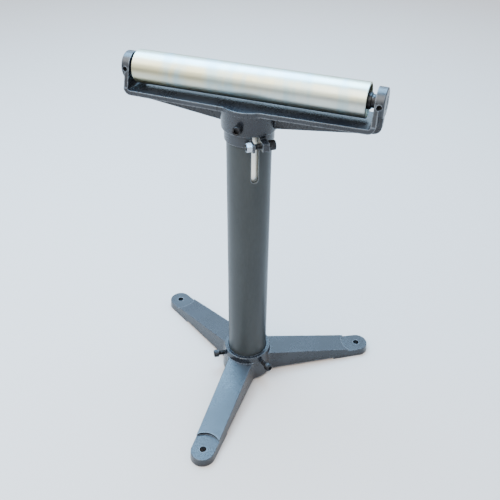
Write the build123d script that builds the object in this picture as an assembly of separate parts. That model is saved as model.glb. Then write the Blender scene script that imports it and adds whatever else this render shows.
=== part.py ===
from build123d import *
import math
import os

# Roller stand: a three-legged cast base holds a slotted column. A mast slides in the column and is
# clamped by a split band. A cast yoke on the mast carries a free-turning roller on a fixed axle.
# Millimetres. X runs along the roller, the front leg points to -Y, Z is up, and the origin is on the
# floor at the column's axis.

# Cap screws: shank and head diameters, head height, width and depth of the hexagon socket
screw_diameter = 9.5
screw_head_diameter = 14.3
screw_head_height = 9.5
screw_socket_width = 7.9
screw_socket_depth = 5.0
screw_edge = 0.7
screw_clearance = 0.15

# Column tube and the mast that slides in it
column_diameter = 73.0
column_foot = 4.5
column_top = 526.5
mast_diameter = 60.3
mast_wall = 3.9
mast_length = 488.0
slide_clearance = 0.08
tube_edge = 0.8
slot_width = 11.6
slot_length = 83.5
clamp_azimuth = -54.5

# Split clamp band round the top of the column, with its two lugs
band_wall = 3.4
band_height = 19.5
band_clearance = 0.1
band_edge = 1.0
lug_screw_reach = 12.3
lug_end = 9.1
lug_height = 13.4
lug_lift = 0.6
thick_lug = 11.4
thin_lug = 3.8
lug_corner = 2.2
lug_edge = 0.7
clamp_head_diameter = 15.6
clamp_head_height = 10.6
nut_width = 14.3
nut_height = 8.2
nut_chamfer_angle = 30.0
nut_turn = 30.0
screw_end = 2.0
seat_gap = 0.1

# Base casting
hub_radius = 48.7
hub_height = 56.6
hub_clearance = 0.3
hub_edge = 1.5
bore_chamfer = 1.2
base_draft = 4.3
foot_circle_radius = 229.8
foot_hole_diameter = 12.0
foot_end_radius = 22.3
foot_end_offset = 1.5
foot_pad_height = 16.0
foot_pad_edge = 1.2
pad_inset = 52.8
underside_lift = 4.2
step_radius = 31.0
leg_root_width = 57.6
leg_root_height = 42.84
leg_tip_height = 20.9
leg_tip_inset = 29.8
leg_web_fillet = 11.0
leg_edge = 1.3
leg_wall = 6.5
leg_roof = 7.0
leg_turn = 1.3
leg_count = 3
first_leg_azimuth = 30.0
core_start = 60.0
core_end_inset = 61.8
core_corner = 6.0
base_screw_height = 37.5
base_screw_stand_off = 9.0

# Yoke casting
roller_axis_rise = 30.1
plate_thickness = 7.4
plate_middle_width = 73.0
plate_end_width = 64.6
plate_middle_place = 40.0
plate_edge = 1.6
ear_room = 8.8
ear_thickness = 7.0
ear_corner = 11.0
floor_corner = 3.5
ear_boss_radius = 22.0
ear_boss_length = 13.8
ear_edge = 1.6
collar_radius = 44.2
collar_gap = 0.5
collar_height = 40.4
collar_draft = 1.5
collar_edge = 1.5
collar_roof = 12.0
collar_clearance = 0.1
bulge_fillet = 14.0
web_thickness = 14.0
web_root_drop = 36.6
web_fall = 0.122
web_corner = 12.0
web_lean = 1.8
web_inset = 0.4
web_knee = 15.5
web_fillet = 4.0
web_edge = 2.0
yoke_screw_rise = 14.0
yoke_screw_stand_off = 1.0
yoke_screw_azimuth = -90.0
set_screw_diameter = 8.0
set_screw_length = 8.0
set_screw_socket = 4.0

# Roller, bearings and axle
roller_diameter = 52.07
roller_length = 366.4
roller_shift = -2.5
roller_wall = 4.0
roller_edge = 0.8
axle_diameter = 20.0
axle_clearance = 0.05
axle_end_gap = 0.5
bearing_outer_diameter = 47.0
bearing_width = 14.0
bearing_recess = 4.0
inner_race_diameter = 27.2
outer_race_bore = 39.8
ball_diameter = 7.9
ball_count = 8
ball_clearance = 0.06
cage_wall = 2.4
cage_width = 9.6
shield_thickness = 0.8
shield_inset = 0.4
shield_clearance = 0.3
spacer_diameter = 24.5
spacer_reach = 4.5

# How near an edge, a corner or an angle has to be to the one that is looked for
pick_reach = 0.01
pick_angle = 0.1

# Sizes that follow
column_radius = column_diameter / 2
mast_radius = mast_diameter / 2
column_bore_radius = mast_radius + slide_clearance
band_inner_radius = column_radius + band_clearance
band_outer_radius = band_inner_radius + band_wall
band_foot = column_top - band_height
lug_screw_radius = column_radius + lug_screw_reach
lug_screw_height = band_foot + lug_lift + lug_height / 2
leg_tip_place = foot_circle_radius - leg_tip_inset
leg_fall = (leg_root_height - leg_tip_height) / (leg_tip_place - hub_radius)
core_end = foot_circle_radius - core_end_inset
pad_inner_radius = foot_circle_radius - pad_inset
hub_bore_radius = column_radius + hub_clearance
collar_foot = column_top + collar_gap
plate_top = collar_foot + collar_height
yoke_screw_height = collar_foot + yoke_screw_rise
roller_axis_height = plate_top + roller_axis_rise
collar_bore_radius = mast_radius + collar_clearance
mast_top = plate_top - collar_roof
screw_radius = screw_diameter / 2
screw_hole_radius = screw_radius + screw_clearance
roller_radius = roller_diameter / 2
axle_radius = axle_diameter / 2
bearing_seat_radius = bearing_outer_diameter / 2
ball_circle_radius = (inner_race_diameter + outer_race_bore) / 4
ear_inner_face = roller_length / 2 + ear_room
ear_outer_face = ear_inner_face + ear_boss_length
axle_half_length = ear_outer_face - axle_end_gap
leg_azimuths = [first_leg_azimuth + leg_turn + i * 360 / leg_count for i in range(leg_count)]


def turned(shape, azimuth):
    """The shape turned about the column's axis."""
    return Rot(0, 0, azimuth) * shape


def along_x(shape, x=0, y=0, z=0):
    """A shape built on +Z, laid along +X from the given point."""
    return Pos(x, y, z) * Rot(0, 90, 0) * shape


def tube(outer_radius, inner_radius, length):
    """An open tube that stands on the XY plane."""
    return extrude(Circle(outer_radius) - Circle(inner_radius), length)


def level_edges(part, z):
    """The edges of a part that lie level at one height."""
    return part.edges().filter_by_position(Axis.Z, z - pick_reach, z + pick_reach)


def rim_edges(part, z):
    """The circular edges of a part at one height."""
    return level_edges(part, z).filter_by(GeomType.CIRCLE)


def distance_out(edge):
    """How far the middle of an edge lies from the column's axis."""
    return math.hypot(edge.center().X, edge.center().Y)


def cap_screw(shank_length, head_diameter=screw_head_diameter, head_height=screw_head_height):
    """A socket-head cap screw with its head above the XY plane and its shank below it."""
    head = extrude(Circle(head_diameter / 2), head_height)
    head = chamfer(rim_edges(head, head_height), screw_edge)
    socket = extrude(RegularPolygon(screw_socket_width / 2, 6, major_radius=False), screw_socket_depth)
    shank = extrude(Circle(screw_radius), shank_length)
    shank = Pos(0, 0, -shank_length) * chamfer(rim_edges(shank, 0), screw_edge)
    return head + shank - Pos(0, 0, head_height - screw_socket_depth) * socket


def radial_screw(under_head_radius, tip_radius, height, azimuth):
    """A cap screw on a line through the column's axis, with its head outside."""
    screw = Rot(0, 90, 0) * cap_screw(under_head_radius - tip_radius)
    return turned(Pos(under_head_radius, 0, height) * screw, azimuth)


def radial_hole(radius, reach, height, azimuth):
    """A cylinder from the column's axis outwards, to be cut from a part."""
    return turned(along_x(extrude(Circle(radius), reach), 0, 0, height), azimuth)


def hull_outline(root_half_width, end_radius, end_place):
    """A tapering bar with a round end: its straight sides are tangent to the end circle."""
    reach = math.hypot(root_half_width, end_place)
    lean = math.acos(end_radius / reach) - math.atan2(end_place, root_half_width)
    touch_x = end_place + end_radius * math.sin(lean)
    touch_y = end_radius * math.cos(lean)
    bar = Polygon((0, -root_half_width), (touch_x, -touch_y), (touch_x, touch_y), (0, root_half_width),
                  align=None)
    return bar + Pos(end_place, 0) * Circle(end_radius)


def leg_top_cut(drop=0.0):
    """All above the sloping top of a leg along +X, lowered by drop, that ends over the foot's step."""
    reach = 2 * foot_circle_radius
    block = Box(2 * reach, reach, reach, align=(Align.MAX, Align.CENTER, Align.MIN))
    block = Rot(0, leg_slope(), 0) * Pos(leg_tip_inset - step_radius / 2, 0, 0) * block
    return Pos(leg_tip_place, 0, leg_tip_height - drop) * block


def leg_core():
    """The hollow under a leg that points along +X: drafted sides and a roof of even thickness."""
    taper = (leg_root_width / 2 - foot_end_radius) / foot_circle_radius
    wide = leg_root_width / 2 - leg_wall - core_start * taper
    narrow = leg_root_width / 2 - leg_wall - core_end * taper
    outline = Polygon((core_start, -wide), (core_end, -narrow), (core_end, narrow), (core_start, wide),
                      align=None)
    outline = fillet(outline.vertices(), core_corner)
    core = extrude(outline, hub_height, dir=(0, 0, 1), taper=base_draft)
    return core - leg_top_cut(leg_roof)


def base_casting():
    """Hub and legs as one drafted casting, open underneath, standing on its three foot pads."""
    leg = hull_outline(leg_root_width / 2, foot_end_radius, foot_circle_radius + foot_end_offset)
    plan = Circle(hub_radius)
    for azimuth in leg_azimuths:
        plan += turned(leg, azimuth)
    corners = [v for v in plan.vertices() if abs(Vector(v.X, v.Y).length - hub_radius) < pick_reach]
    plan = fillet(corners, leg_web_fillet)
    legs = extrude(plan, hub_height, dir=(0, 0, 1), taper=base_draft)
    for azimuth in leg_azimuths:
        legs -= turned(leg_top_cut(), azimuth)
        step = Pos(foot_circle_radius, 0, foot_pad_height) * extrude(Circle(step_radius), hub_height)
        legs -= turned(step, azimuth)
    legs = fillet(leg_rim_edges(legs), leg_edge)
    legs = fillet(pad_edges(legs), foot_pad_edge)
    hub_rise = hub_height * math.tan(math.radians(base_draft))
    hub = Cone(hub_radius, hub_radius - hub_rise, hub_height,
               align=(Align.CENTER, Align.CENTER, Align.MIN))
    hub = fillet(rim_edges(hub, hub_height), hub_edge)
    casting = legs + hub
    casting -= extrude(Circle(pad_inner_radius), underside_lift)
    casting -= extrude(Circle(hub_bore_radius), hub_height)
    casting = chamfer(rim_edges(casting, hub_height).sort_by(SortBy.RADIUS)[0], bore_chamfer)
    for azimuth in leg_azimuths:
        casting -= turned(leg_core(), azimuth)
        hole = extrude(Circle(foot_hole_diameter / 2), foot_pad_height)
        casting -= turned(Pos(foot_circle_radius, 0) * hole, azimuth)
        casting -= radial_hole(screw_hole_radius, 2 * hub_radius, base_screw_height,
                               azimuth + 180 / leg_count)
    return casting


def leg_slope():
    """The angle by which the top of a leg falls."""
    return math.degrees(math.atan(leg_fall))


def leg_rim_edges(legs):
    """The long top edges of the legs, between each sloping top and its two sides."""
    edges = []
    for face in legs.faces().filter_by(GeomType.PLANE):
        if abs(face.normal_at().get_angle(Vector(0, 0, 1)) - leg_slope()) < pick_angle:
            edges += [e for e in face.edges().filter_by(GeomType.LINE) if distance_out(e) > hub_radius]
    return edges


def pad_edges(legs):
    """The outer top edges of the foot pads."""
    return [e for e in level_edges(legs, foot_pad_height)
            if distance_out(e) > foot_circle_radius - step_radius / 2]


def column_tube():
    """The outer tube, slotted from its top so that the band can close it on the mast."""
    column = Pos(0, 0, column_foot) * tube(column_radius, column_bore_radius, column_top - column_foot)
    slot = Rectangle(slot_length - slot_width / 2, slot_width, align=(Align.MIN, Align.CENTER))
    slot += Circle(slot_width / 2)
    cutter = Rot(0, -90, 0) * extrude(slot, -column_diameter)
    return column - turned(Pos(0, 0, column_top - slot_length + slot_width / 2) * cutter, clamp_azimuth)


def clamp_band():
    """The split band with a thick lug under the screw head and a thin lug behind the nut."""
    ring = tube(band_outer_radius, band_inner_radius, band_height)
    ring = chamfer(ring.edges().filter_by(GeomType.CIRCLE).sort_by(SortBy.RADIUS)[-2:], band_edge)
    ring = Pos(0, 0, band_foot) * ring
    gap = Pos(0, 0, band_foot) * Box(column_diameter, slot_width, band_height,
                                     align=(Align.MIN, Align.CENTER, Align.MIN))
    outline = Rectangle(lug_screw_radius + lug_end - mast_radius, lug_height, align=(Align.MAX, Align.CENTER))
    outline = Pos(lug_end, 0) * fillet(outline.vertices().group_by(Axis.X)[-1], lug_corner)
    band = ring - gap
    for side, thickness in ((1, thick_lug), (-1, thin_lug)):
        lug = extrude(outline, thickness)
        lug = chamfer(lug.edges().group_by(Axis.Z)[-1], lug_edge)
        band += Pos(lug_screw_radius, side * slot_width / 2, lug_screw_height) * Rot(-90 * side, 0, 0) * lug
    band -= Pos(0, 0, band_foot - band_height) * extrude(Circle(band_inner_radius), 3 * band_height)
    band = turned(band, clamp_azimuth)
    return band - on_clamp_axis(extrude(Circle(screw_hole_radius), slot_width + thick_lug, both=True), 0)


def on_clamp_axis(shape, place):
    """A shape built on +Z, set along the clamp screw's axis at a place counted from the gap's middle."""
    return turned(Pos(lug_screw_radius, place, lug_screw_height) * Rot(-90, 0, 0) * shape, clamp_azimuth)


def clamp_screw():
    """The cap screw that closes the band."""
    head_seat = slot_width / 2 + thick_lug + seat_gap
    nut_face = slot_width / 2 + thin_lug + seat_gap + nut_height
    screw = cap_screw(head_seat + nut_face + screw_end, clamp_head_diameter, clamp_head_height)
    return on_clamp_axis(screw, head_seat)


def clamp_nut():
    """The hexagon nut against the thin lug, with both faces chamfered to a cone."""
    hexagon = RegularPolygon(nut_width / 2, 6, major_radius=False, rotation=nut_turn)
    nut = extrude(hexagon - Circle(screw_radius + slide_clearance), nut_height)
    corner = nut_width / math.sqrt(3)
    drop = (corner - nut_width / 2) * math.tan(math.radians(nut_chamfer_angle))
    profile = Polygon((0, 0), (nut_width / 2, 0), (corner, drop), (corner, nut_height - drop),
                      (nut_width / 2, nut_height), (0, nut_height), align=None)
    nut &= revolve(Plane.XZ * profile, Axis.Z)
    return on_clamp_axis(nut, -slot_width / 2 - thin_lug - seat_gap - nut_height)


def mast_tube():
    """The plated inner tube, from deep in the column up into the yoke's collar."""
    mast = tube(mast_radius, mast_radius - mast_wall, mast_length)
    mast = chamfer(rim_edges(mast, mast_length).sort_by(SortBy.RADIUS)[-1], tube_edge)
    return Pos(0, 0, mast_top - mast_length) * mast


def ear_outline():
    """An ear seen along the roller: a round head on flared sides, down to the plate."""
    outline = hull_outline(plate_end_width / 2, ear_boss_radius, roller_axis_height - plate_top)
    return Pos(0, 0, plate_top) * Rot(0, -90, 0) * outline


def web_height(x):
    """The height of the web's lower edge at a distance from the column's axis."""
    return plate_top - web_root_drop + (x - plate_middle_place) * web_fall


def yoke_web():
    """The rib under one half of the plate, which turns up the outside of the ear to its boss."""
    lean_foot = ear_outer_face - web_lean
    outline = Polygon((0, plate_top - plate_thickness / 2), (0, web_height(plate_middle_place)),
                      (plate_middle_place, web_height(plate_middle_place)),
                      (lean_foot, web_height(lean_foot)),
                      (ear_outer_face - web_inset, roller_axis_height - web_knee),
                      (ear_outer_face - web_inset, roller_axis_height),
                      (ear_inner_face + ear_thickness / 2, roller_axis_height),
                      (ear_inner_face + ear_thickness / 2, plate_top - plate_thickness / 2), align=None)
    corner = outline.vertices().sort_by_distance((lean_foot, web_height(lean_foot)))[0]
    outline = fillet(corner, web_corner)
    web = extrude(Plane.XZ * outline, web_thickness / 2, both=True)
    lower = [e for e in web.edges() if e.geom_type in (GeomType.LINE, GeomType.CIRCLE)
             and abs(abs(e.center().Y) - web_thickness / 2) < pick_reach
             and (e.center().Z < plate_top - plate_thickness or e.center().X > ear_inner_face + ear_thickness)
             and e.center().Z < roller_axis_height - 1 and e.center().X > web_edge]
    return fillet(lower, web_edge)


def yoke_flange():
    """The bent flange of the yoke: a tapering plate that turns up into an ear at each end."""
    half = ear_inner_face + ear_thickness
    top = roller_axis_height + ear_boss_radius
    outside = Pos(0, plate_top - plate_thickness) * Rectangle(2 * half, top - plate_top + plate_thickness,
                                                             align=(Align.CENTER, Align.MIN))
    outside = fillet(outside.vertices().sort_by(Axis.Y)[:2], ear_corner)
    inside = Pos(0, plate_top) * Rectangle(2 * ear_inner_face, top, align=(Align.CENTER, Align.MIN))
    inside = fillet(inside.vertices().sort_by(Axis.Y)[:2], floor_corner)
    band = extrude(Plane.XZ * (outside - inside), plate_middle_width, both=True)
    plan = Polygon((-half, -plate_end_width / 2), (-plate_middle_place, -plate_middle_width / 2),
                   (plate_middle_place, -plate_middle_width / 2), (half, -plate_end_width / 2),
                   (half, plate_end_width / 2), (plate_middle_place, plate_middle_width / 2),
                   (-plate_middle_place, plate_middle_width / 2), (-half, plate_end_width / 2), align=None)
    bulge_radius = collar_radius + collar_draft
    plan += Circle(bulge_radius)
    corners = [v for v in plan.vertices() if abs(Vector(v.X, v.Y).length - bulge_radius) < pick_reach]
    plan = fillet(corners, bulge_fillet)
    plate = extrude(plan, plate_thickness)
    rims = [e for e in plate.edges().group_by(Axis.Z)[-1] if abs(e.center().X) < ear_inner_face]
    plate = fillet(rims, plate_edge)
    ear_feet = extrude(plan, plate_thickness + floor_corner)
    ear_feet -= Box(2 * (ear_inner_face - floor_corner), 2 * plate_middle_width, 2 * plate_top)
    ears = extrude(Pos(-half, 0, 0) * ear_outline(), 2 * half, dir=(1, 0, 0))
    return band & (Pos(0, 0, plate_top - plate_thickness) * (plate + ear_feet) + ears)


def web_root_edges(yoke):
    """The lines and bends where the webs meet the outside of the flange."""
    sides = [e for e in yoke.edges() if abs(abs(e.center().Y) - web_thickness / 2) < pick_reach]
    bends = [e for e in sides if e.geom_type == GeomType.CIRCLE and abs(e.radius - ear_corner) < pick_reach]
    lines = [e for e in sides if e.geom_type == GeomType.LINE]
    under = [e for e in lines if abs(e.center().Z - plate_top + plate_thickness) < pick_reach]
    outer = [e for e in lines if abs(abs(e.center().X) - ear_inner_face - ear_thickness) < pick_reach]
    return bends + under + outer


def yoke_casting():
    """Flange, webs, bosses and collar as one casting, bored for the axle, the mast and their screws."""
    yoke = yoke_flange()
    boss = extrude(Circle(ear_boss_radius), ear_boss_length)
    boss = fillet(rim_edges(boss, ear_boss_length), ear_edge)
    web = yoke_web()
    for side in (0, 180):
        yoke += turned(web, side)
    for side in (0, 180):
        yoke += turned(along_x(boss, ear_inner_face, 0, roller_axis_height), side)
    collar = Cone(collar_radius, collar_radius + collar_draft, plate_top - plate_thickness / 2 - collar_foot,
                  align=(Align.CENTER, Align.CENTER, Align.MIN))
    collar = fillet(rim_edges(collar, 0), collar_edge)
    yoke += Pos(0, 0, collar_foot) * collar
    yoke = fillet(web_root_edges(yoke), web_fillet)
    yoke -= Pos(0, 0, collar_foot) * extrude(Circle(collar_bore_radius), mast_top + collar_gap - collar_foot)
    yoke -= radial_hole(screw_hole_radius, 2 * collar_radius, yoke_screw_height, yoke_screw_azimuth)
    bore = extrude(Circle(axle_radius + axle_clearance), ear_outer_face, both=True)
    yoke -= along_x(bore, 0, 0, roller_axis_height)
    for side in (-1, 1):
        hole = Rot(90, 0, 0) * extrude(Circle(set_screw_diameter / 2), 2 * ear_boss_radius)
        yoke -= Pos(side * (ear_inner_face + ear_outer_face) / 2, 0, roller_axis_height) * hole
    return yoke


def axle_set_screw(side):
    """The headless screw that holds the axle in one ear, sunk in its hole, with a hexagon socket."""
    screw = extrude(Circle(set_screw_diameter / 2 - axle_clearance), set_screw_length)
    screw = chamfer(rim_edges(screw, 0), screw_edge)
    socket = extrude(RegularPolygon(set_screw_socket / 2, 6, major_radius=False), set_screw_length / 2)
    screw -= Pos(0, 0, set_screw_length / 2) * socket
    place = Pos(side * (ear_inner_face + ear_outer_face) / 2, -axle_radius - seat_gap, roller_axis_height)
    return place * Rot(90, 0, 0) * screw


def roller_tube():
    """The roller shell, with a counterbore at each end for its bearing."""
    shell = tube(roller_radius, bearing_seat_radius - roller_wall / 2, roller_length)
    seat = extrude(Circle(bearing_seat_radius), bearing_recess + bearing_width)
    shell -= seat
    shell -= Pos(0, 0, roller_length - bearing_recess - bearing_width) * seat
    shell = fillet(shell.edges().filter_by(GeomType.CIRCLE).sort_by(SortBy.RADIUS)[-2:], roller_edge)
    return along_x(shell, roller_shift - roller_length / 2, 0, roller_axis_height)


def at_bearing(shape, side):
    """A shape built on +Z from a bearing's inner face outwards, set at one end of the roller."""
    face = roller_length / 2 - bearing_recess - bearing_width
    return Pos(roller_shift + side * face, 0, roller_axis_height) * Rot(0, 90 * side, 0) * shape


def race(outer_radius, inner_radius):
    """One bearing race with its ball groove."""
    ring = tube(outer_radius, inner_radius, bearing_width)
    groove = Torus(ball_circle_radius, ball_diameter / 2 + ball_clearance)
    return ring - Pos(0, 0, bearing_width / 2) * groove


def ball_places():
    """Where the balls of a bearing stand round its axis."""
    return PolarLocations(ball_circle_radius, ball_count)


def ball_set():
    """The balls of one bearing, each a solid of its own."""
    return [Pos(0, 0, bearing_width / 2) * place * Sphere(ball_diameter / 2) for place in ball_places()]


def ball_cage():
    """The ring that keeps the balls apart, with a pocket for each."""
    cage = tube(ball_circle_radius + cage_wall / 2, ball_circle_radius - cage_wall / 2, cage_width)
    pocket = extrude(Circle(ball_diameter / 2 + 2 * ball_clearance), 2 * ball_circle_radius)
    for i in range(ball_count):
        cage -= Pos(0, 0, cage_width / 2) * Rot(0, 0, i * 360 / ball_count) * Rot(0, 90, 0) * pocket
    return Pos(0, 0, (bearing_width - cage_width) / 2) * cage


def bearing_shield():
    """The thin ring that closes a bearing's outer side and turns with its outer race."""
    ring = tube(outer_race_bore / 2 - axle_clearance, inner_race_diameter / 2 + shield_clearance,
                shield_thickness)
    return Pos(0, 0, bearing_width - shield_inset - shield_thickness) * ring


def axle_spacer():
    """The bush on the axle between a bearing's inner race and the ear."""
    length = bearing_recess + spacer_reach
    bush = tube(spacer_diameter / 2, axle_radius + axle_clearance, length)
    bush = chamfer(rim_edges(bush, length).sort_by(SortBy.RADIUS)[-1], screw_edge)
    return Pos(0, 0, bearing_width) * bush


def axle():
    """The fixed axle, through both bearings and both ears."""
    rod = extrude(Circle(axle_radius), axle_half_length, both=True)
    rod = chamfer(rod.edges().filter_by(GeomType.CIRCLE), roller_edge)
    return along_x(rod, 0, 0, roller_axis_height)


def write(name, *solids):
    """Write one node to its own file."""
    shape = Compound(children=list(solids)) if len(solids) > 1 else solids[0]
    export_step(shape, os.path.join("parts", name + ".step"))


def main():
    """Build every piece and write it out."""
    os.makedirs("parts", exist_ok=True)
    write("base_casting", base_casting())
    for name, azimuth in zip(("rear", "left", "right"), leg_azimuths):
        reach = hub_radius + base_screw_stand_off
        write("base_lock_screw_" + name,
              radial_screw(reach, column_radius + seat_gap, base_screw_height, azimuth + 180 / leg_count))
    write("column_tube", column_tube())
    write("clamp_band", clamp_band())
    write("clamp_screw", clamp_screw())
    write("clamp_nut", clamp_nut())
    write("mast_tube", mast_tube())
    write("yoke_casting", yoke_casting())
    write("yoke_lock_screw", radial_screw(collar_radius + collar_draft + yoke_screw_stand_off,
                                          mast_radius + seat_gap, yoke_screw_height, yoke_screw_azimuth))
    write("roller_axle", axle())
    write("roller_tube", roller_tube())
    for name, side in (("left", -1), ("right", 1)):
        write("axle_set_screw_" + name, axle_set_screw(side))
        write("bearing_outer_race_" + name,
              at_bearing(race(bearing_seat_radius - axle_clearance, outer_race_bore / 2), side))
        write("bearing_inner_race_" + name,
              at_bearing(race(inner_race_diameter / 2, axle_radius + axle_clearance), side))
        write("bearing_balls_" + name, *[at_bearing(ball, side) for ball in ball_set()])
        write("bearing_cage_" + name, at_bearing(ball_cage(), side))
        write("bearing_shield_" + name, at_bearing(bearing_shield(), side))
        write("axle_spacer_" + name, at_bearing(axle_spacer(), side))


main()
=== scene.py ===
import logging
import math
from dataclasses import dataclass, field
from enum import Enum
from typing import Any, NamedTuple

import bpy
import numpy as np
from mathutils import Matrix, Vector


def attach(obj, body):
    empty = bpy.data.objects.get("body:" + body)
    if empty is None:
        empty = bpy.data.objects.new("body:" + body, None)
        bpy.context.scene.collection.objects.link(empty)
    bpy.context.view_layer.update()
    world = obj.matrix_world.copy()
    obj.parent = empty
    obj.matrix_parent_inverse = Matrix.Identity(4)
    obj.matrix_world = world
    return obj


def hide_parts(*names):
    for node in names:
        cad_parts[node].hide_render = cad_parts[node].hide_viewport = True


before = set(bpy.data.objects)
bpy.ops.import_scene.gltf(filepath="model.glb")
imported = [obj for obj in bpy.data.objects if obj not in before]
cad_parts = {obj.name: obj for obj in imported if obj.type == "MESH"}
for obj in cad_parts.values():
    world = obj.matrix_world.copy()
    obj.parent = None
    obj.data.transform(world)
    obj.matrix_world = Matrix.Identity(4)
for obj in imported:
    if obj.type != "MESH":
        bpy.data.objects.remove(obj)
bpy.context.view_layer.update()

logging.basicConfig(level=logging.INFO, format="%(message)s")
log = logging.getLogger("pipe_stand")

MM = 0.001
NOISE_MEAN = 0.5

Colour = tuple[float, float, float]
Point = tuple[float, float, float]
Factors = tuple[float, float, float]
Pair = tuple[float, float]


class Body(str, Enum):
    """The moving groups of the stand that new pieces ride on."""

    STAND = "stand"
    CLAMP_SCREW = "clamp_screw"
    HEAD = "head"


class Side(str, Enum):
    """The two ends of the roller."""

    LEFT = "left"
    RIGHT = "right"


# Shader expressions


@dataclass(frozen=True)
class Wire:
    """One output socket. Arithmetic on it adds Math nodes.

    Args:
        book: the node tree's helper.
        socket: the socket that carries the value.
    """

    book: "Book"
    socket: bpy.types.NodeSocket

    def _with(self, operation: str, *values: "Wire | float") -> "Wire":
        """A Math node on the given values."""
        return self.book.add("ShaderNodeMath", {"operation": operation}, dict(enumerate(values)))

    def __add__(self, other: "Wire | float") -> "Wire":
        """The sum."""
        return self._with("ADD", self, other)

    def __sub__(self, other: "Wire | float") -> "Wire":
        """The difference."""
        return self._with("SUBTRACT", self, other)

    def __rsub__(self, other: "Wire | float") -> "Wire":
        """The difference, from a number on the left."""
        return self._with("SUBTRACT", other, self)

    def __mul__(self, other: "Wire | float") -> "Wire":
        """The product."""
        return self._with("MULTIPLY", self, other)

    __radd__ = __add__
    __rmul__ = __mul__

    def clamped(self) -> "Wire":
        """The value, held between 0 and 1."""
        return self.book.add("ShaderNodeClamp", {}, {"Value": self})

    def over(self, low: float, high: float) -> "Wire":
        """A smooth step: 0 below low and 1 above high."""
        return self.book.add("ShaderNodeMapRange", {"interpolation_type": "SMOOTHSTEP"},
                             {"Value": self, "From Min": low, "From Max": high})


@dataclass(frozen=True)
class Book:
    """Makes the nodes of one tree.

    Args:
        tree: the node tree.
    """

    tree: bpy.types.NodeTree

    def fill(self, node: bpy.types.Node, values: dict[int | str, Any]) -> None:
        """Fills a node's sockets.

        Args:
            node: the node.
            values: socket name or number to a number, a colour, a vector or a Wire.
        """
        for key, value in values.items():
            if isinstance(value, Wire):
                self.tree.links.new(value.socket, node.inputs[key])
            else:
                node.inputs[key].default_value = value

    def add(self, kind: str, settings: dict[str, Any], values: dict[int | str, Any],
            out: int | str = 0) -> Wire:
        """Any node: its settings first, and then the values or links of its sockets.

        Args:
            kind: the node's type.
            settings: attributes of the node.
            values: what its sockets are filled with.
            out: the output that is wanted.

        Returns:
            The output as a Wire.
        """
        node = self.tree.nodes.new(kind)
        for name, value in settings.items():
            setattr(node, name, value)
        self.fill(node, values)
        return Wire(self, node.outputs[out])

    def place(self, factors: Factors) -> Wire:
        """Object coordinates times a factor an axis. A factor below 1 draws a pattern out along its axis."""
        spot = self.add("ShaderNodeTexCoord", {}, {}, "Object")
        return self.add("ShaderNodeMapping", {}, {"Vector": spot, "Scale": factors})

    def mixed(self, share: Wire, low: Wire | Colour, high: Wire | Colour) -> Wire:
        """Two colours mixed by a share. The numbers are those of the Mix node's colour sockets."""
        low, high = (value if isinstance(value, Wire) else (*value, 1.0) for value in (low, high))
        return self.add("ShaderNodeMix", {"data_type": "RGBA"}, {0: share, 6: low, 7: high}, 2)

    def bump(self, height: Wire, depth: float) -> Wire:
        """A bumped normal from a height between 0 and 1, depth metres deep."""
        values = {"Height": height, "Distance": depth, "Strength": 1.0}
        return self.add("ShaderNodeBump", {}, values, "Normal")

    def edge(self, width: float, samples: int = 6) -> Wire:
        """How much the surface turns within a width: 0 on a flat face, and more towards an edge.

        It is 1 minus the cosine of the angle between the surface's normal and the mean normal around it.

        Args:
            width: how far the mean reaches, in metres.
            samples: how many rays find the mean.

        Returns:
            The turn as a Wire.
        """
        rounded = self.add("ShaderNodeBevel", {"samples": samples}, {"Radius": width}, "Normal")
        flat = self.add("ShaderNodeNewGeometry", {}, {}, "Normal")
        settings = {"operation": "DOT_PRODUCT"}
        return 1 - self.add("ShaderNodeVectorMath", settings, {0: rounded, 1: flat}, "Value")


@dataclass(frozen=True)
class Pattern:
    """A noise on a surface, from 0 to 1.

    Args:
        size: how wide its blotches are, in metres.
        detail: how many finer layers it has.
        fineness: how strong each layer is beside the one before.
        band: the values at which its mask starts and is full.
        swing: how far it moves the roughness, between its lowest and its highest value.
    """

    size: float
    detail: float
    fineness: float = 0.5
    band: Pair = (0.0, 1.0)
    swing: float = 0.0

    def at(self, spot: Wire) -> Wire:
        """The noise at a place."""
        values = {"Vector": spot, "Scale": 1 / self.size, "Detail": self.detail, "Roughness": self.fineness}
        return spot.book.add("ShaderNodeTexNoise", {}, values, "Fac")

    def mask(self, noise: Wire) -> Wire:
        """The noise as a mask: 0 below the band and 1 above it."""
        return noise.over(*self.band)

    def sway(self, noise: Wire) -> Wire:
        """What the noise adds to the roughness, which is nothing at its mean."""
        return (noise - NOISE_MEAN) * self.swing


# Finishes


@dataclass(frozen=True)
class Finish:
    """What a surface is covered with. A subclass fills the shader.

    Args:
        name: the material's name.
    """

    name: str

    def shade(self, book: Book) -> dict[str, Any]:
        """The sockets of the surface shader that this finish sets."""
        raise NotImplementedError

    def material(self) -> bpy.types.Material:
        """The finish as a material, made once, under a name that no CAD material has.

        Returns:
            The material.
        """
        title = f"{self.name}_finish"
        made = bpy.data.materials.get(title)
        if made is None:
            made = bpy.data.materials.new(title)
            made.use_nodes = True
            book = Book(made.node_tree)
            book.fill(made.node_tree.nodes["Principled BSDF"], self.shade(book))
        return made


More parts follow.
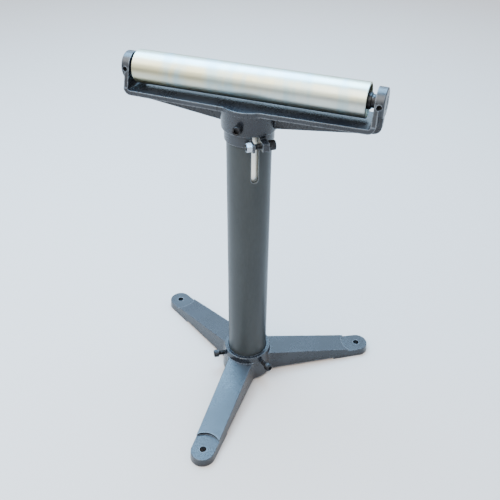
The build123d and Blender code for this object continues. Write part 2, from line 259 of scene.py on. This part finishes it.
@dataclass(frozen=True)
class Enamel(Finish):
    """Sprayed enamel on a cast or drawn surface: mottled, with lighter edges that are partly worn paint and
    partly a painted highlight, and a few dark specks.

    Args:
        light: the colour where the coat is thick.
        dark: the colour where it is thin.
        roughness: the coat's mean roughness.
        skin: depth of the skin's unevenness, in metres.
        factors: the factors on the coordinates of every pattern.
        index: refractive index of the coat.
        cloud: the wide mottling.
        grain: the grain under the coat. Its mask breaks the lighter edges up.
        fine: the finest unevenness of the skin.
        speck: the specks.
        grain_share: the grain's share in the mottling, beside the clouds.
        mottle_band: the mixed noise at which the colour leaves dark and reaches light.
        relief_share: the grain's share in the skin's relief, beside the fine pattern.
        speck_shade: the specks' brightness, as a share of dark.
        speck_cover: how much a speck covers.
        wear_and_highlight_colour: the lighter colour of the edges, partly where the coat is worn thin and
            partly a painted highlight along them.
        wear_and_highlight_width: how far in from an edge the lighter colour reaches, in metres.
        wear_and_highlight_band: the turn of the surface at which the lighter colour starts and is full.
        wear_and_highlight_cover: how much the lighter colour covers.
    """

    light: Colour
    dark: Colour
    roughness: float
    skin: float
    factors: Factors = (1, 1, 1)
    index: float = 1.46
    cloud: Pattern = Pattern(48 * MM, 3.0, swing=0.3)
    grain: Pattern = Pattern(4 * MM, 3.0, 0.6, band=(0.2, 0.6), swing=0.2)
    fine: Pattern = Pattern(1 * MM, 2.0, 0.6)
    speck: Pattern = Pattern(8 * MM, 1.0, band=(0.76, 0.82))
    grain_share: float = 0.35
    mottle_band: Pair = (0.34, 0.66)
    relief_share: float = 0.7
    speck_shade: float = 0.4
    speck_cover: float = 0.5
    # the edges' lighter colour: partly worn paint, partly a painted highlight along every turned edge
    wear_and_highlight_colour: Colour = (0.19, 0.215, 0.25)
    wear_and_highlight_width: float = 3 * MM
    wear_and_highlight_band: Pair = (0.008, 0.09)
    wear_and_highlight_cover: float = 0.6

    def shade(self, book: Book) -> dict[str, Any]:
        """Mottled colour, specks, edges lightened for worn paint and a painted highlight, roughness that
        follows the noise, and an uneven skin.
        """
        spot = book.place(self.factors)
        cloud, grain, fine = (pattern.at(spot) for pattern in (self.cloud, self.grain, self.fine))
        mottle = (cloud * (1 - self.grain_share) + grain * self.grain_share).over(*self.mottle_band)
        speck = self.speck.mask(self.speck.at(spot)) * self.speck_cover
        # painted highlight and wear: the edge mask lightens the coat along turned edges, where a highlight
        # would catch, broken up by the grain
        wear_and_highlight = book.edge(self.wear_and_highlight_width).over(*self.wear_and_highlight_band) * self.grain.mask(grain) * self.wear_and_highlight_cover
        colour = book.mixed(mottle, self.dark, self.light)
        colour = book.mixed(speck, colour, tuple(self.speck_shade * part for part in self.dark))
        # the lighter edge colour goes on last: partly worn paint, partly painted highlight
        colour = book.mixed(wear_and_highlight, colour, self.wear_and_highlight_colour)
        rough = (self.roughness + self.grain.sway(grain) + self.cloud.sway(cloud)).clamped()
        relief = grain * self.relief_share + fine * (1 - self.relief_share)
        return {"Base Color": colour, "Roughness": rough, "Normal": book.bump(relief, self.skin),
                "IOR": self.index}


@dataclass(frozen=True)
class Plating(Finish):
    """Bright zinc plating on turned or drawn steel, with the faint warm and cool tints of its passivation.

    Args:
        clear: the plain colour of the plating.
        warm: its yellowish bands.
        roughness: its mean roughness.
        cool: its bluish patches.
        band_factors: the factors on the coordinates of the warm bands.
        patch_factors: the factors on the coordinates of the cool patches.
        mark_factors: the factors on the coordinates of the tool marks.
        bands: the noise of the warm bands.
        patches: the noise of the cool patches.
        marks: the noise of the tool marks.
        mark_shade: the tool marks' brightness, as a share of clear.
        mark_cover: how much the tool marks cover.
        mark_depth: depth of the tool marks, in metres.
    """

    clear: Colour
    warm: Colour
    roughness: float
    cool: Colour = (0.66, 0.76, 0.80)
    band_factors: Factors = (1, 1, 1)
    patch_factors: Factors = (1, 1, 1)
    mark_factors: Factors = (1, 1, 1)
    bands: Pattern = Pattern(30 * MM, 2.0, band=(0.38, 0.62), swing=0.06)
    patches: Pattern = Pattern(35 * MM, 3.0, 0.6, band=(0.46, 0.68), swing=0.2)
    marks: Pattern = Pattern(1.2 * MM, 3.0, 0.65, swing=0.14)
    mark_shade: float = 0.55
    mark_cover: float = 0.24
    mark_depth: float = 0.01 * MM

    def shade(self, book: Book) -> dict[str, Any]:
        """Bands and patches of tint, streaked roughness and fine marks, on bare metal."""
        bands = self.bands.at(book.place(self.band_factors))
        patches = self.patches.at(book.place(self.patch_factors))
        marks = self.marks.at(book.place(self.mark_factors))
        colour = book.mixed(self.bands.mask(bands), self.clear, self.warm)
        colour = book.mixed(self.patches.mask(patches), colour, self.cool)
        shaded = tuple(self.mark_shade * part for part in self.clear)
        colour = book.mixed(marks * self.mark_cover, colour, shaded)
        sway = self.bands.sway(bands) + self.patches.sway(patches) + self.marks.sway(marks)
        return {"Base Color": colour, "Roughness": (self.roughness + sway).clamped(), "Metallic": 1.0,
                "Normal": book.bump(marks, self.mark_depth)}


@dataclass(frozen=True)
class Patchy(Finish):
    """One colour with patches of another on it, and a fine relief that moves the roughness too.

    Args:
        colour: the main colour.
        patch_colour: the colour of the patches.
        patch: the noise of the patches.
        patch_cover: how much a patch covers.
        fine: the noise of the relief.
        roughness: the mean roughness.
        metallic: how metallic it is.
        relief: depth of the relief, in metres.
        fine_factors: the factors on the coordinates of the relief.
    """

    colour: Colour
    patch_colour: Colour
    patch: Pattern
    patch_cover: float
    fine: Pattern
    roughness: float
    metallic: float
    relief: float
    fine_factors: Factors = (1, 1, 1)

    def shade(self, book: Book) -> dict[str, Any]:
        """Patched colour, and roughness and relief from one fine noise."""
        patch = self.patch.mask(self.patch.at(book.place((1, 1, 1)))) * self.patch_cover
        fine = self.fine.at(book.place(self.fine_factors))
        return {"Base Color": book.mixed(patch, self.colour, self.patch_colour),
                "Roughness": (self.roughness + self.fine.sway(fine)).clamped(), "Metallic": self.metallic,
                "Normal": book.bump(fine, self.relief)}


@dataclass(frozen=True)
class Oxide(Patchy):
    """Black oxide, oily, and worn grey in patches. Its fields are those of Patchy."""

    colour: Colour = (0.018, 0.018, 0.02)
    patch_colour: Colour = (0.16, 0.16, 0.165)
    patch: Pattern = Pattern(4 * MM, 3.0, band=(0.52, 0.8))
    patch_cover: float = 0.6
    fine: Pattern = Pattern(0.8 * MM, 2.0, swing=0.2)
    roughness: float = 0.36
    metallic: float = 0.75
    relief: float = 0.02 * MM


@dataclass(frozen=True)
class GroundSteel(Patchy):
    """Ground bearing steel with grinding marks and faint brown stains. Its fields are those of Patchy."""

    colour: Colour = (0.55, 0.56, 0.57)
    patch_colour: Colour = (0.3, 0.29, 0.27)
    patch: Pattern = Pattern(8 * MM, 2.0, band=(0.5, 0.8))
    patch_cover: float = 0.4
    fine: Pattern = Pattern(4 * MM, 3.0, 0.6, swing=0.18)
    roughness: float = 0.29
    metallic: float = 1.0
    relief: float = 0.01 * MM
    fine_factors: Factors = (12, 1, 1)


@dataclass(frozen=True)
class Seal(Patchy):
    """The dark moulded rubber of a bearing's seal, with a trace of dust. Its fields are those of Patchy."""

    colour: Colour = (0.014, 0.014, 0.015)
    patch_colour: Colour = (0.07, 0.068, 0.062)
    patch: Pattern = Pattern(5 * MM, 3.0, band=(0.5, 0.8))
    patch_cover: float = 0.3
    fine: Pattern = Pattern(0.6 * MM, 2.0, swing=0.2)
    roughness: float = 0.6
    metallic: float = 0.0
    relief: float = 0.03 * MM


@dataclass(frozen=True)
class Palette:
    """Every finish of the stand."""

    # both enamels keep the default lighter edges: partly worn paint, partly a painted highlight
    casting: Finish = Enamel("casting_enamel", light=(0.017, 0.021, 0.028), dark=(0.008, 0.010, 0.015),
                             roughness=0.28, skin=0.2 * MM)
    column: Finish = Enamel("column_enamel", light=(0.033, 0.038, 0.040), dark=(0.026, 0.030, 0.032),
                            roughness=0.36, skin=0.06 * MM, factors=(4 / 3, 4 / 3, 1 / 3), index=1.3)
    roller: Finish = Plating("roller_plating", clear=(0.50, 0.54, 0.50), warm=(0.52, 0.50, 0.33),
                             cool=(0.36, 0.47, 0.48), roughness=0.34, band_factors=(0.06, 1, 1),
                             patch_factors=(1, 0.35, 0.35), mark_factors=(0.04, 1, 1))
    mast: Finish = Plating("mast_plating", clear=(0.94, 0.93, 0.87), warm=(0.94, 0.90, 0.76),
                           roughness=0.4, band_factors=(1, 1, 0.2), mark_factors=(1, 1, 0.05))
    nut: Finish = Plating("nut_plating", clear=(0.46, 0.53, 0.60), warm=(0.50, 0.52, 0.50), roughness=0.3)
    oxide: Finish = Oxide("black_oxide")
    spacer: Finish = Oxide("spacer_oxide", colour=(0.025, 0.025, 0.027))
    steel: Finish = GroundSteel("ground_steel")
    seal: Finish = Seal("bearing_seal")


# Meshes


def surface(name: str, grid: np.ndarray, crease: float) -> bpy.types.Object:
    """A closed mesh from rows of rings: row i of the grid is one ring, and each ring is closed on itself.

    The first and the last ring shrink to their mean points, which close the ends. The faces between
    two rings join each point to the next one round and to the same two on the next ring.

    Args:
        name: the piece's name.
        grid: points as an array of rings by points by 3, in metres, with the outside on the right hand
            when the rings are walked in order.
        crease: edges that turn by more than this many degrees stay sharp.

    Returns:
        The object.
    """
    inner = grid[1:-1]
    rings, points = inner.shape[:2]
    ends = grid[[0, -1]].mean(axis=1)
    index = np.arange(rings * points).reshape(rings, points)
    after = np.roll(index, -1, axis=1)
    quads = np.stack([index[:-1], index[1:], after[1:], after[:-1]], -1)
    top = np.stack([np.full(points, index.size), index[0], after[0]], -1)
    foot = np.stack([index[-1], np.full(points, index.size + 1), after[-1]], -1)
    corners = np.concatenate([quads.ravel(), top.ravel(), foot.ravel()])
    counts = np.repeat([4, 3], [quads.size // 4, 2 * points])
    mesh = bpy.data.meshes.new(name)
    mesh.vertices.add(index.size + 2)
    mesh.vertices.foreach_set("co", np.concatenate([inner.ravel(), ends.ravel()]))
    mesh.loops.add(len(corners))
    mesh.loops.foreach_set("vertex_index", corners)
    mesh.polygons.add(len(counts))
    mesh.polygons.foreach_set("loop_start", np.cumsum(counts) - counts)
    mesh.polygons.foreach_set("use_smooth", np.ones(len(counts), bool))
    mesh.update(calc_edges=True)
    mesh.set_sharp_from_angle(angle=math.radians(crease))
    piece = bpy.data.objects.new(name, mesh)
    bpy.context.scene.collection.objects.link(piece)
    return piece


def wear(finish: Finish, *nodes: str) -> None:
    """Gives CAD nodes a finish.

    Args:
        finish: the finish.
        nodes: the nodes' names.
    """
    for name in nodes:
        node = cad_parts[name]
        for slot in node.material_slots:
            slot.material = finish.material()
        if not node.material_slots:
            node.data.materials.append(finish.material())
        log.info("%s: %s", name, finish.name)


class Ring(NamedTuple):
    """One ring of a screw's outline, and how much of each pattern it carries, from 0 to 1.

    Args:
        radius: its radius, in metres.
        height: its height over the seat, in metres.
        hexagon: the share of the socket's hexagon.
        knurl: the share of the knurls.
        thread: the share of the thread.
    """

    radius: float
    height: float
    hexagon: float = 0.0
    knurl: float = 0.0
    thread: float = 0.0


@dataclass(frozen=True)
class CapScrew:
    """A socket-head cap screw with a knurled head and a rolled thread. All its lengths are in metres.

    Args:
        name: the new piece's name.
        node: the CAD node that it stands for.
        body: the body that it rides on.
        seat: the point under the head.
        out: the direction from the tip to the head.
        shank: length under the head.
        head_radius: radius of the head.
        head_height: height of the head.
        edge: size of the roundings and bevels.
        top_rounding: points of the head's rounded rim, as edges in from its side and down from its top.
        foot_rounding: points of its rounded foot, as edges in from its side and up from the seat.
        socket_half_width: half the width across the socket's flats.
        socket_depth: depth of the socket.
        socket_chamfer: width of the round chamfer at its mouth.
        drill_radius: radius of the drilled cone in its floor.
        drill_depth: depth of that cone.
        knurls: number of knurls round the head.
        knurl_depth: depth of a knurl.
        knurl_insets: how far the knurls stay from the head's top and from the seat.
        shank_radius: outer radius of the thread.
        thread_depth: depth of the thread.
        thread_inset: how far the thread stays from the tip.
        tip_bevel: height of the bevel at the tip.
        pitch: rise of the thread in one turn.
        rings_per_pitch: number of rings in one rise.
        points: number of points in a ring.
        crease: edges that turn by more than this many degrees stay sharp.
    """

    name: str
    node: str
    body: Body
    seat: Point
    out: Point
    shank: float
    head_radius: float = 7.15 * MM
    head_height: float = 9.5 * MM
    edge: float = 0.7 * MM
    top_rounding: tuple[Pair, ...] = ((1.2, 0.0), (0.4, 0.3), (0.0, 1.0))
    foot_rounding: tuple[Pair, ...] = ((0.0, 1.0), (0.0, 0.3), (0.3, 0.0))
    socket_half_width: float = 3.95 * MM
    socket_depth: float = 5.0 * MM
    socket_chamfer: float = 0.9 * MM
    drill_radius: float = 2.37 * MM
    drill_depth: float = 0.6 * MM
    knurls: int = 36
    knurl_depth: float = 0.3 * MM
    knurl_insets: Pair = (1.4 * MM, 1.12 * MM)
    shank_radius: float = 4.75 * MM
    thread_depth: float = 0.85 * MM
    thread_inset: float = 1.4 * MM
    tip_bevel: float = 0.42 * MM
    pitch: float = 1.5875 * MM
    rings_per_pitch: int = 6
    points: int = 180
    crease: float = 40.0

    def profile(self) -> np.ndarray:
        """The outline from the socket's floor over the head and down the shank to the tip.

        Returns:
            Rows of radius, height, hexagon share, knurl share and thread share.
        """
        top, floor = self.head_height, self.head_height - self.socket_depth
        flat, head, edge = self.socket_half_width, self.head_radius, self.edge
        core, tip = self.shank_radius - self.thread_depth, -self.shank
        coils = np.arange(-edge, tip + self.thread_inset, -self.pitch / self.rings_per_pitch)
        socket = [Ring(0, floor - self.drill_depth), Ring(self.drill_radius, floor, hexagon=1),
                  Ring(flat, floor, hexagon=1), Ring(flat, floor + edge, hexagon=1),
                  Ring(flat, top - edge, hexagon=1), Ring(flat + self.socket_chamfer, top)]
        rim = [Ring(head - side * edge, top - down * edge) for side, down in self.top_rounding]
        grip = [Ring(head, top - self.knurl_insets[0], knurl=1), Ring(head, self.knurl_insets[1], knurl=1)]
        foot = [Ring(head - side * edge, up * edge) for side, up in self.foot_rounding]
        thread = [Ring(self.shank_radius, 0)] + [Ring(self.shank_radius, coil, thread=1) for coil in coils]
        end = [Ring(core, tip + self.tip_bevel), Ring(core - edge, tip), Ring(0, tip)]
        return np.array(socket + rim + grip + foot + thread + end, float)

    def grid(self) -> np.ndarray:
        """The screw's surface: the outline turned about the axis, with its radius changed by angle.

        The socket's radius is its half width over the cosine of the angle from the nearest flat. A knurl is
        a cosine ripple round the head. A thread is a triangle wave of height plus angle, one coil a pitch.

        Returns:
            Points as rings by points by 3.
        """
        rows = self.profile()
        radius, height, hexagon, knurl, thread = (rows[:, i:i + 1] for i in range(len(Ring._fields)))
        angle = np.linspace(0, 2 * math.pi, self.points, endpoint=False)[None, :]
        sector = math.pi / 3
        from_flat = (angle + sector / 2) % sector - sector / 2
        ripple = (1 - np.cos(self.knurls * angle)) / 2
        coil = np.abs((height / self.pitch - angle / (2 * math.pi)) % 1 * 2 - 1)
        r = radius * (1 + hexagon * (1 / np.cos(from_flat) - 1))
        r = r - knurl * self.knurl_depth * ripple - thread * self.thread_depth * coil
        axis = Vector(self.out).normalized()
        side = axis.orthogonal().normalized()
        across = np.array([side, axis.cross(side), axis])
        local = np.stack([r * np.cos(angle), r * np.sin(angle), np.broadcast_to(height, r.shape)], -1)
        return local @ across + np.array(self.seat)

    def build(self, finish: Finish) -> None:
        """Makes the screw, in place of its CAD node.

        Args:
            finish: what it is covered with.
        """
        piece = surface(self.name, self.grid(), self.crease)
        piece.data.materials.append(finish.material())
        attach(piece, self.body.value)
        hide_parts(self.node)
        log.info("%s: for %s, %d faces", self.name, self.node, len(piece.data.polygons))


def round_place(radius: float, azimuth: float, height: float) -> Point:
    """A point on a circle about the column's axis, with the azimuth in degrees."""
    turn = math.radians(azimuth)
    return radius * math.cos(turn), radius * math.sin(turn), height


# Sub-assemblies


@dataclass(frozen=True)
class Base:
    """The cast base and the three screws that hold the column in it.

    Args:
        palette: the finishes.
        seat_radius: distance of the screws' seats from the column's axis, in metres.
        height: height of the screws, in metres.
        shank: their length under the head, in metres.
        azimuths: where each screw looks, in degrees.
    """

    palette: Palette
    seat_radius: float = 57.7 * MM
    height: float = 37.5 * MM
    shank: float = 21.1 * MM
    azimuths: dict[str, float] = field(default_factory=lambda: {"rear": 91.3, "left": 211.3, "right": 331.3})

    def build(self) -> None:
        """Dresses the casting and makes the screws."""
        wear(self.palette.casting, "base_casting")
        for place, azimuth in self.azimuths.items():
            screw = CapScrew(f"hub_screw_{place}", f"base_lock_screw_{place}", Body.STAND,
                             seat=round_place(self.seat_radius, azimuth, self.height),
                             out=round_place(1, azimuth, 0), shank=self.shank)
            screw.build(self.palette.oxide)


@dataclass(frozen=True)
class Column:
    """The slotted column, its band with nut and screw, and the mast inside.

    Args:
        palette: the finishes.
        gap_azimuth: where the band's gap looks, in degrees.
        screw_radius: distance of the screw's middle from the column's axis, in metres.
        screw_height: height of the screw, in metres.
        head_seat: distance of the seat under its head from its middle, in metres.
        shank: its length under the head, in metres.
        head_radius: radius of its head, in metres.
        head_height: height of its head, in metres.
    """

    palette: Palette
    gap_azimuth: float = -54.5
    screw_radius: float = 48.8 * MM
    screw_height: float = 514.3 * MM
    head_seat: float = 17.3 * MM
    shank: float = 37.2 * MM
    head_radius: float = 7.8 * MM
    head_height: float = 10.6 * MM

    def build(self) -> None:
        """Dresses the tubes, band and nut, and makes the clamp's screw."""
        wear(self.palette.column, "column_tube")
        wear(self.palette.casting, "clamp_band")
        wear(self.palette.nut, "clamp_nut")
        wear(self.palette.mast, "mast_tube")
        across = Vector(round_place(1, self.gap_azimuth + 90, 0))
        middle = Vector(round_place(self.screw_radius, self.gap_azimuth, self.screw_height))
        screw = CapScrew("clamp_cap_screw", "clamp_screw", Body.CLAMP_SCREW,
                         seat=tuple(middle + across * self.head_seat), out=tuple(across), shank=self.shank,
                         head_radius=self.head_radius, head_height=self.head_height)
        screw.build(self.palette.oxide)


@dataclass(frozen=True)
class Yoke:
    """The cast yoke, its screws and the fixed axle.

    Args:
        palette: the finishes.
        azimuth: where the collar's screw looks, in degrees.
        seat_radius: distance of its seat from the column's axis, in metres.
        height: its height, in metres.
        shank: its length under the head, in metres.
    """

    palette: Palette
    azimuth: float = -90.0
    seat_radius: float = 46.7 * MM
    height: float = 541.0 * MM
    shank: float = 16.45 * MM

    def build(self) -> None:
        """Dresses the casting, the set screws and the axle, and makes the collar's screw."""
        wear(self.palette.casting, "yoke_casting")
        wear(self.palette.oxide, "roller_axle", "axle_set_screw_left", "axle_set_screw_right")
        screw = CapScrew("collar_screw", "yoke_lock_screw", Body.HEAD,
                         seat=round_place(self.seat_radius, self.azimuth, self.height),
                         out=round_place(1, self.azimuth, 0), shank=self.shank)
        screw.build(self.palette.oxide)


@dataclass(frozen=True)
class Roller:
    """The plated roller shell, and the bearing, shield and spacer at each end.

    Args:
        palette: the finishes.
        steel_parts: the pieces of a bearing that are bare steel.
    """

    palette: Palette
    steel_parts: tuple[str, ...] = ("outer_race", "inner_race", "balls", "cage")

    def build(self) -> None:
        """Dresses the shell and every bearing piece."""
        wear(self.palette.roller, "roller_tube")
        for side in Side:
            wear(self.palette.steel, *(f"bearing_{part}_{side.value}" for part in self.steel_parts))
            wear(self.palette.seal, f"bearing_shield_{side.value}")
            wear(self.palette.spacer, f"axle_spacer_{side.value}")


# Studio


@dataclass(frozen=True)
class Softbox:
    """A rectangular light that faces a point.

    Args:
        name: the light's name.
        place: where it hangs, in metres.
        aim: what it faces.
        size: its width and height, in metres.
        glow: its radiance, in watts a square metre and steradian.
        colour: its tint.
    """

    name: str
    place: Point
    aim: Point
    size: Pair
    glow: float
    colour: Colour

    def build(self) -> None:
        """Hangs the light."""
        data = bpy.data.lights.new(self.name, "AREA")
        data.shape, data.color = "RECTANGLE", self.colour
        data.size, data.size_y = self.size
        data.energy = self.glow * math.pi * self.size[0] * self.size[1]
        lamp = bpy.data.objects.new(self.name, data)
        turn = (Vector(self.aim) - Vector(self.place)).to_track_quat("-Z", "Y")
        lamp.matrix_world = Matrix.Translation(self.place) @ turn.to_matrix().to_4x4()
        bpy.context.scene.collection.objects.link(lamp)


@dataclass(frozen=True)
class Studio:
    """The floor, the lights and the camera of the photograph.

    Args:
        eye: the camera's place, in metres.
        heading: the azimuth that it looks to, in degrees.
        dip: how far it looks down, in degrees.
        roll: how far it is turned about its line of sight, in degrees.
        focal_pixels: its focal length, in pixels of the photograph.
        centre: the pixel of the photograph that lies on its line of sight.
        image: the photograph's width and height, in pixels.
        sensor: the width of the camera's sensor, in millimetres.
        floor_half: half the floor's width, in metres.
        floor_colour: the floor's colour.
        floor_roughness: its roughness.
        floor_shine: how strongly it reflects.
        horizon: the room's light at eye level.
        zenith: the room's light overhead.
        sky_rise: the height of a ray at which the light leaves horizon and reaches zenith.
        boxes: the lights.
    """

    eye: Point = (0.30965, -0.83312, 0.94810)
    heading: float = 109.64
    dip: float = 34.34
    roll: float = 0.922
    focal_pixels: float = 623.157
    centre: Pair = (255.13, 224.07)
    image: float = 500.0
    sensor: float = 36.0
    floor_half: float = 6.0
    floor_colour: Colour = (0.58, 0.51, 0.47)
    floor_roughness: float = 0.9
    floor_shine: float = 0.1
    horizon: Colour = (0.62, 0.64, 0.66)
    zenith: Colour = (1.5, 1.62, 1.75)
    sky_rise: Pair = (0.1, 0.9)
    boxes: tuple[Softbox, ...] = (
        Softbox("overhead", place=(-0.6, 0.6, 2.4), aim=(-0.2, 0, 0.3), size=(2.2, 1.5),
                glow=24.0, colour=(0.33, 0.65, 1.0)),
        Softbox("front", place=(-0.55, -1.05, 2.1), aim=(-0.2, 0, 0.5), size=(2.4, 1.4),
                glow=6.6, colour=(1.0, 0.97, 0.90)),
        Softbox("low_front", place=(-0.6, -1.9, 1.4), aim=(-0.2, 0, 0.6), size=(2.4, 1.3),
                glow=1.8, colour=(1.0, 0.97, 0.84)),
        Softbox("back", place=(-0.7, 2.4, 1.8), aim=(-0.2, 0, 0.2), size=(2.6, 1.2),
                glow=3.8, colour=(0.45, 0.73, 1.0)))

    def camera(self) -> None:
        """Sets the camera at the photograph's angle, with the same framing."""
        data = bpy.data.cameras.new("camera")
        data.sensor_width = self.sensor
        data.lens = self.focal_pixels / self.image * self.sensor
        data.shift_x = (self.image / 2 - self.centre[0]) / self.image
        data.shift_y = (self.centre[1] - self.image / 2) / self.image
        heading, dip, roll = (math.radians(angle) for angle in (self.heading, self.dip, self.roll))
        ahead = Vector((math.cos(heading) * math.cos(dip), math.sin(heading) * math.cos(dip), -math.sin(dip)))
        level = Vector((math.sin(heading), -math.cos(heading), 0))
        turn = Matrix((level, level.cross(ahead), -ahead)).transposed() @ Matrix.Rotation(roll, 3, "Z")
        camera = bpy.data.objects.new("camera", data)
        camera.matrix_world = Matrix.Translation(self.eye) @ turn.to_4x4()
        bpy.context.scene.collection.objects.link(camera)
        bpy.context.scene.camera = camera

    def floor(self) -> None:
        """Lays a plain pale floor."""
        half = self.floor_half
        corners = [(-half, -half, 0), (half, -half, 0), (half, half, 0), (-half, half, 0)]
        mesh = bpy.data.meshes.new("floor")
        mesh.from_pydata(corners, [], [(0, 1, 2, 3)])
        floor = bpy.data.objects.new("floor", mesh)
        bpy.context.scene.collection.objects.link(floor)
        paint = bpy.data.materials.new("floor_paint")
        paint.use_nodes = True
        Book(paint.node_tree).fill(paint.node_tree.nodes["Principled BSDF"], {
            "Base Color": (*self.floor_colour, 1.0), "Roughness": self.floor_roughness,
            "Specular IOR Level": self.floor_shine})
        mesh.materials.append(paint)

    def sky(self) -> None:
        """Fills the room with a soft light, stronger and cooler overhead than at the horizon."""
        world = bpy.data.worlds.new("room")
        world.use_nodes = True
        book = Book(world.node_tree)
        ray = book.add("ShaderNodeTexCoord", {}, {}, "Generated")
        height = book.add("ShaderNodeSeparateXYZ", {}, {"Vector": ray}, "Z")
        glow = book.mixed(height.over(*self.sky_rise), self.horizon, self.zenith)
        book.fill(world.node_tree.nodes["Background"], {"Color": glow})
        bpy.context.scene.world = world

    def build(self) -> None:
        """Sets up everything round the stand."""
        self.camera()
        self.floor()
        self.sky()
        for box in self.boxes:
            box.build()


def main() -> None:
    """Builds the sub-assemblies in order, and then the studio."""
    palette = Palette()
    for part in (Base(palette), Column(palette), Yoke(palette), Roller(palette)):
        part.build()
    Studio().build()


if __name__ == "__main__":
    main()
